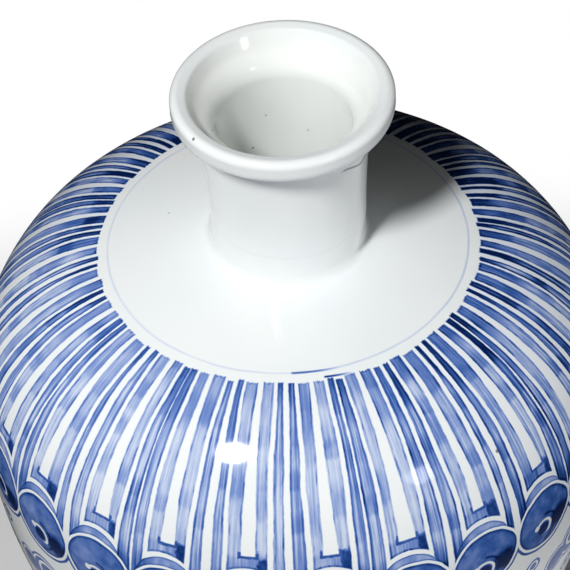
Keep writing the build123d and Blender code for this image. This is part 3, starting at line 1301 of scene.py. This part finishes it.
    def lappets(self) -> Num:
        """Pigment of the striped lappets, from under the ring line to the arcs over the cloud heads."""
        work = self.brushwork
        stripe = self.stripe()
        narrow, foot = stripe.narrow, stripe.foot
        on_leg = 1 - narrow
        heel = foot.rise(-1.0, 1.5) * on_leg
        dashes = self.grain(1.2, 8.0, seed=9.0).rise(0.0, 0.18).most(narrow * work.narrow_dash)
        line = dashes * (work.edge + narrow * work.narrow_edge) + work.outline + heel * work.heel_edge
        line = stripe.inside.rise(1.1, 0.3) * line
        ragged = self.noise(1.6, detail=1.0, seed=18.0)
        hem = (stripe.beside.most(foot) + ragged).rise(1.4, 0.8) * (foot + ragged * 3).rise(-2.4, -1.2)
        corner = (foot + ragged * 2 + stripe.loose * 2).rise(-0.6, 2.0)
        corner = corner * (stripe.beside + ragged * 2).rise(-0.6, 1.2) * on_leg
        laid = (hem * work.hem).most(corner * (stripe.right * work.right_corner + work.corner))
        laid = laid * (self.grain(2.0, 3.0, seed=19.0) * 0.7 + 1.0)
        # The load is painted light and shade: paler in front, towards the key lamp, deeper behind and on the
        # right.
        density = self.wash(stripe, heel) * self.load + line * (self.load * 0.9 + 0.05)
        return density.most(laid).least(1.0).most(0.1) * stripe.inside.rise(-0.22, 0.34)

    def heads(self) -> Num:
        """Pigment of the cloud heads, each with its hook, and of the crescents over them."""
        plan, wave = self.head, self.wave
        x, drop, head = self.head_place()
        mottle = self.noise(4.0, seed=15.0)
        within = plan.white - plan.line - head
        right, low = x - plan.hook.real, drop - plan.hook.imag
        hook = right.hypot(low)
        stroke = (hook - plan.stroke_radius + wave).drawn(0.7, 0.25) * (right > 0.5) * 0.3
        # The load here too is painted light and shade round the vase.
        disc = (0.58 + mottle * 0.6) * (self.load * 0.4 + 0.64) + stroke + within.rise(1.5, 0.3) * 0.25
        disc = disc + plan.dark.mask(x, drop) - plan.pale.mask(x, drop)
        disc = disc.most(plan.core.mask(right, low)).least(1.0)
        curl = (right > -0.5).most(low < -1.5) * low.rise(4.0, 2.6)
        bare = (hook - plan.hook_radius + wave * 0.8).drawn(0.8, 0.4) * curl
        bare = bare.most(plan.hook_end.mask(right, low))
        crescent = (plan.crescent - self.arch(x) - wave).least(head - plan.white)
        moon = 0.3 + mottle * 0.5 + crescent.rise(0.8, 0.1) * 0.3 + x.rise(-4.0, -10.0) * 0.3
        rim = (head - plan.white - 0.6).drawn(0.7, 0.3) * drop.rise(-2.0, 3.0) * (0.7 + mottle * 0.6)
        filled = (disc * (1 - bare) * within.rise(*self.fill)).most(moon * crescent.rise(*self.fill))
        return filled.most(rim)

    def coil(self, distance: Num, x: Num, y: Num, pitch: float) -> Num:
        """White spiral left in a cloud scroll, as a mask."""
        turn = self.tree.math("ARCTAN2", y, x) / (2 * math.pi) + 0.5
        first = abs(distance - (turn * pitch + 1.0))
        second = abs(distance - (turn * pitch + 1.0 + pitch)) + (turn > 0.32) * 9.0
        return first.least(second).rise(0.95, 0.45)

    def scrolls(self) -> Num:
        """Pigment of the staggered cloud scrolls below the cloud heads."""
        plan = self.scroll
        row = ((self.down - plan.top) / plan.pitch).floor()
        y = self.down - plan.top - (row + 0.5) * plan.pitch
        stagger = row * (math.pi / plan.count)
        _, across = self.round_place(self.angle - math.radians(plan.first) + stagger, plan.count)
        x = across * plan.width
        aside = x - plan.head
        head = aside.hypot(y)
        edge = head - plan.head_radius
        for right, below, size in plan.lobes:
            edge = edge.least((x - right).hypot(y - below) - size)
        edge = edge + self.noise(6.0, detail=1.0, seed=25.0) * 1.2
        mottle = self.noise(4.0, seed=26.0)
        filled = (0.6 + mottle * 0.7) * (1 - self.coil(head, aside, y, plan.coil)) * edge.rise(-1.2, -1.7)
        contour = edge.drawn(0.7, 0.25) * (0.62 + mottle * 0.5)
        tail = (y - 7.5 - self.tree.math("SINE", x * 0.45) * 2).drawn(1.2, 0.6) * x.rise(19.0, 21.0) * 0.6
        bottom = plan.top + plan.pitch * plan.rows
        return filled.most(contour).most(tail) * self.down.between(plan.top, bottom, 0.5)

    def petals(self) -> Num:
        """Pigment of the upright petals above the foot, one outline inside the other."""
        plan = self.petal
        _, across = self.round_place(self.angle, plan.count)
        spacing = self.radius * (2 * math.pi / plan.count)
        x = across * spacing
        half = spacing * plan.half * self.down.rise(plan.tip - 6, plan.full)
        inside = (half - abs(x)).least(plan.base - self.down) + self.noise(8.0, detail=1.0, seed=27.0) * 0.8
        mottle = self.noise(4.0, seed=28.0)
        outline = inside.between(0.0, 1.1, 0.2) * (0.72 + mottle * 0.6)
        second = inside.between(2.2, 2.8, 0.2) * (0.5 + mottle * 0.6)
        heart = inside.rise(3.9, 4.3) * (0.34 + self.down.rise(plan.base, plan.tip + 20) * 0.3 + mottle * 0.5)
        jewel = x.hypot((self.down - plan.jewel) * 0.6)
        heart = heart * jewel.rise(3.4, 3.9) + jewel.rise(2.3, 1.8) * 0.7
        return outline.most(second).most(heart) * self.down.between(plan.tip, plan.base, 0.3)

    def rings(self) -> Num:
        """Pigment of the ring on the dome, with the brush's start and end, and of the lines lower down."""
        plan, bearing = self.ring, self.bearing
        wave = self.noise(11.0, detail=1.0, seed=21.0)
        patchy = self.noise(14.0, detail=1.0, seed=22.0)
        start = bearing.rise(*plan.start) * bearing.rise(*plan.spent)
        load = plan.faint + bearing.rise(0, 50) * 0.03 + patchy * 0.1 + start * 0.5
        rings = (self.down + wave * 0.5).drawn(0.6, 0.1) * load
        end = self.down - plan.end_drop - (bearing - plan.end[0]) * plan.end_slope
        end = end.drawn(0.55, 0.15) * bearing.between(*plan.end, 0.4) * bearing.rise(18, 9)
        rings = rings.most(end * 0.85)
        for place in plan.lower:
            rings = rings.most((self.down - place + wave * 0.9).drawn(0.85, 0.35) * (0.6 + wave * 0.4))
        return rings


@dataclass(frozen=True)
class Lamp:
    """A soft studio lamp, placed by the direction that it shines from.

    Attributes:
        name: The lamp's name.
        turn: Degrees to the right of the front.
        rise: Degrees above the horizon.
        width: Width in metres.
        height: Height in metres.
        power: Watts.
        distance: Metres from what it shines on.
        aim: Height in metres of what it shines on, on the vase's axis.
        mirrored: Whether the glaze mirrors it.
    """

    name: str
    turn: float
    rise: float
    width: float
    height: float
    power: float
    distance: float = 1.5
    aim: float = 0.28
    mirrored: bool = True

    def hang(self) -> None:
        """Hang the lamp so that it faces the shoulder."""
        data = bpy.data.lights.new(self.name, "AREA")
        data.shape = "ELLIPSE"
        data.size, data.size_y = self.width, self.height
        data.energy = self.power
        lamp = put_up(self.name, data)
        turn, rise = math.radians(self.turn), math.radians(self.rise)
        away = Vector((math.sin(turn) * math.cos(rise), -math.cos(turn) * math.cos(rise), math.sin(rise)))
        lamp.location = Vector((0, 0, self.aim)) + away * self.distance
        lamp.rotation_euler = away.to_track_quat("Z", "Y").to_euler()
        lamp.visible_glossy = self.mirrored


@dataclass(frozen=True)
class Studio:
    """Camera, lamps, floor and surroundings.

    Attributes:
        camera_place: Where the camera stands, in metres.
        camera_tilt: Its turn about X, in degrees.
        camera_roll: Its turn about Y.
        camera_turn: Its turn about Z.
        lens: Focal length in millimetres.
        sensor: Width of its sensor in millimetres.
        ambient: Strength of the light from all round.
        table_edge: Heights of a mirrored direction between which the white table starts.
        floor_radius: Radius of the floor in metres.
        floor_sides: Corners of its rim.
        floor_fade: Shares of that radius between which it fades out.
        floor_tone: Its brightness.
        lamps: The lamps.
    """

    camera_place: Place = (0.0, -0.678104, 0.954206)
    camera_tilt: float = 45.191
    camera_roll: float = 2.367
    camera_turn: float = -2.200
    lens: float = 175.58
    sensor: float = 36.0
    ambient: float = 0.006
    table_edge: Span = (-0.75, -0.92)
    floor_radius: float = 0.55
    floor_sides: int = 96
    floor_fade: Span = (0.45, 0.7)
    floor_tone: float = 0.86
    lamps: tuple[Lamp, ...] = (
        Lamp("key", -31.9, 54.0, 0.21, 0.29, 19.6),
        Lamp("left_fill", -48.0, 30.0, 0.5, 0.6, 2.1, mirrored=False),
        Lamp("right_fill", 41.0, 26.0, 0.2, 0.26, 1.1),
        Lamp("low_left", -85.0, -6.0, 0.9, 0.3, 2.6, mirrored=False),
        Lamp("low_right", 62.0, -6.0, 0.9, 0.3, 8.2, mirrored=False),
    )

    def build(self) -> None:
        """Set up everything round the vase."""
        self.place_camera()
        for lamp in self.lamps:
            lamp.hang()
        self.lay_floor()
        self.surround()
        bpy.context.scene.view_settings.view_transform = "Standard"

    def place_camera(self) -> None:
        """Place the camera where the photograph was taken from."""
        data = bpy.data.cameras.new("camera")
        data.sensor_width = self.sensor
        data.lens = self.lens
        camera = put_up("camera", data)
        camera.location = self.camera_place
        angles = (self.camera_tilt, self.camera_roll, self.camera_turn)
        camera.rotation_euler = Euler([math.radians(angle) for angle in angles], "XYZ")
        bpy.context.scene.camera = camera

    def lay_floor(self) -> None:
        """Lay a pale round floor that fades into the white surroundings."""
        sides = self.floor_sides
        rim = [cmath.rect(self.floor_radius, 2 * math.pi * side / sides) for side in range(sides)]
        mesh = bpy.data.meshes.new("floor")
        mesh.from_pydata([(spot.real, spot.imag, 0) for spot in rim], [], [list(range(sides))])
        floor = put_up("floor", mesh)
        material = bpy.data.materials.new("pale_floor")
        tree = Tree.of(material)
        x, y, _ = tree.parts(tree.node("ShaderNodeTexCoord").outputs["Object"])
        fade = x.hypot(y).rise(*[self.floor_radius * share for share in self.floor_fade])
        pale = tree.node("ShaderNodeBsdfDiffuse", sockets={"Color": (self.floor_tone,) * 3})
        clear = tree.node("ShaderNodeBsdfTransparent")
        mixed = tree.node("ShaderNodeMixShader", sockets={0: fade, 1: pale.outputs[0], 2: clear.outputs[0]})
        tree.node("ShaderNodeOutputMaterial", sockets={0: mixed.outputs[0]})
        mesh.materials.append(material)
        floor.visible_glossy = False

    def surround(self) -> None:
        """White for the eye; for mirrors a white table in a dim room; soft light for the rest."""
        bpy.context.scene.world = bpy.data.worlds.new("surroundings")
        tree = Tree.of(bpy.context.scene.world)
        path = tree.node("ShaderNodeLightPath").outputs
        mirror = Num(tree, path["Is Glossy Ray"]).most(Num(tree, path["Is Transmission Ray"]))
        _, _, up = tree.parts(tree.node("ShaderNodeTexCoord").outputs["Generated"])
        white = Num(tree, path["Is Camera Ray"]).most(mirror * up.rise(*self.table_edge))
        level = white * (1 - self.ambient) + self.ambient
        light = tree.node("ShaderNodeBackground", sockets={"Color": (1.0, 1.0, 1.0), "Strength": level})
        tree.node("ShaderNodeOutputWorld", sockets={0: light.outputs[0]})


@dataclass
class Vase:
    """The whole vase, drawn once and turned section by section."""

    wheel: Wheel = field(default_factory=Wheel)
    body: Body = field(default_factory=Body)
    cobalt: Cobalt = field(default_factory=Cobalt)
    glaze: Glaze = field(default_factory=Glaze)

    def draw(self) -> Pen:
        """Draw the wall and the base."""
        neck = Neck(self.body)
        lip = Lip(neck)
        base = Base(self.body)
        pen = Pen()
        lip.draw(pen)
        pen.painted = True
        neck.draw_outside(pen, lip.seam)
        self.body.draw_outside(pen)
        self.body.draw_inside(pen)
        neck.draw_inside(pen, lip.seam)
        base.draw_disc(pen)
        base.draw_slip(pen)
        return pen

    def build(self) -> None:
        """Turn, dress and report every section."""
        pen = self.draw()
        self.wheel.build_tree()
        painted = PaintedPorcelain("painted_porcelain", self.cobalt, self.glaze).make()
        white = WhitePorcelain("white_porcelain", self.cobalt, self.glaze).make()
        slip = FiredSlip("fired_slip", self.cobalt, self.glaze).make()
        dress = {"base_disc": (white, "base_porcelain"), "base_slip": (slip, "slip")}
        dress.update({node: (painted, "painted_porcelain") for node in (
            "lower_body", "belly_seam_slip", "belly", "shoulder_seam_slip", "shoulder")})
        dress.update({node: (white, "white_porcelain") for node in (
            "neck_seam_slip", "neck", "lip_seam_slip", "lip")})
        for node, (finish, slot) in dress.items():
            closing = Closing.ON_AXIS if node == "base_disc" else Closing.LOOP
            piece = self.wheel.turn("glazed_" + node, pen.stretches[node], pen.zero, closing, finish)
            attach(piece, BODY)
            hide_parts(node)
            low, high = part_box(node)
            box = [Vector(corner) for corner in piece.bound_box]
            off = max((box[LOWEST] - low).length, (box[HIGHEST] - high).length) / MM
            log.info("%s: %d faces, corners within %.2f mm of its solid",
                     piece.name, len(piece.data.polygons), off)


def main() -> None:
    """Build the vase and its studio."""
    logging.basicConfig(level=logging.INFO, format="%(name)s: %(message)s")
    Vase().build()
    Studio().build()


if __name__ == "__main__":
    main()
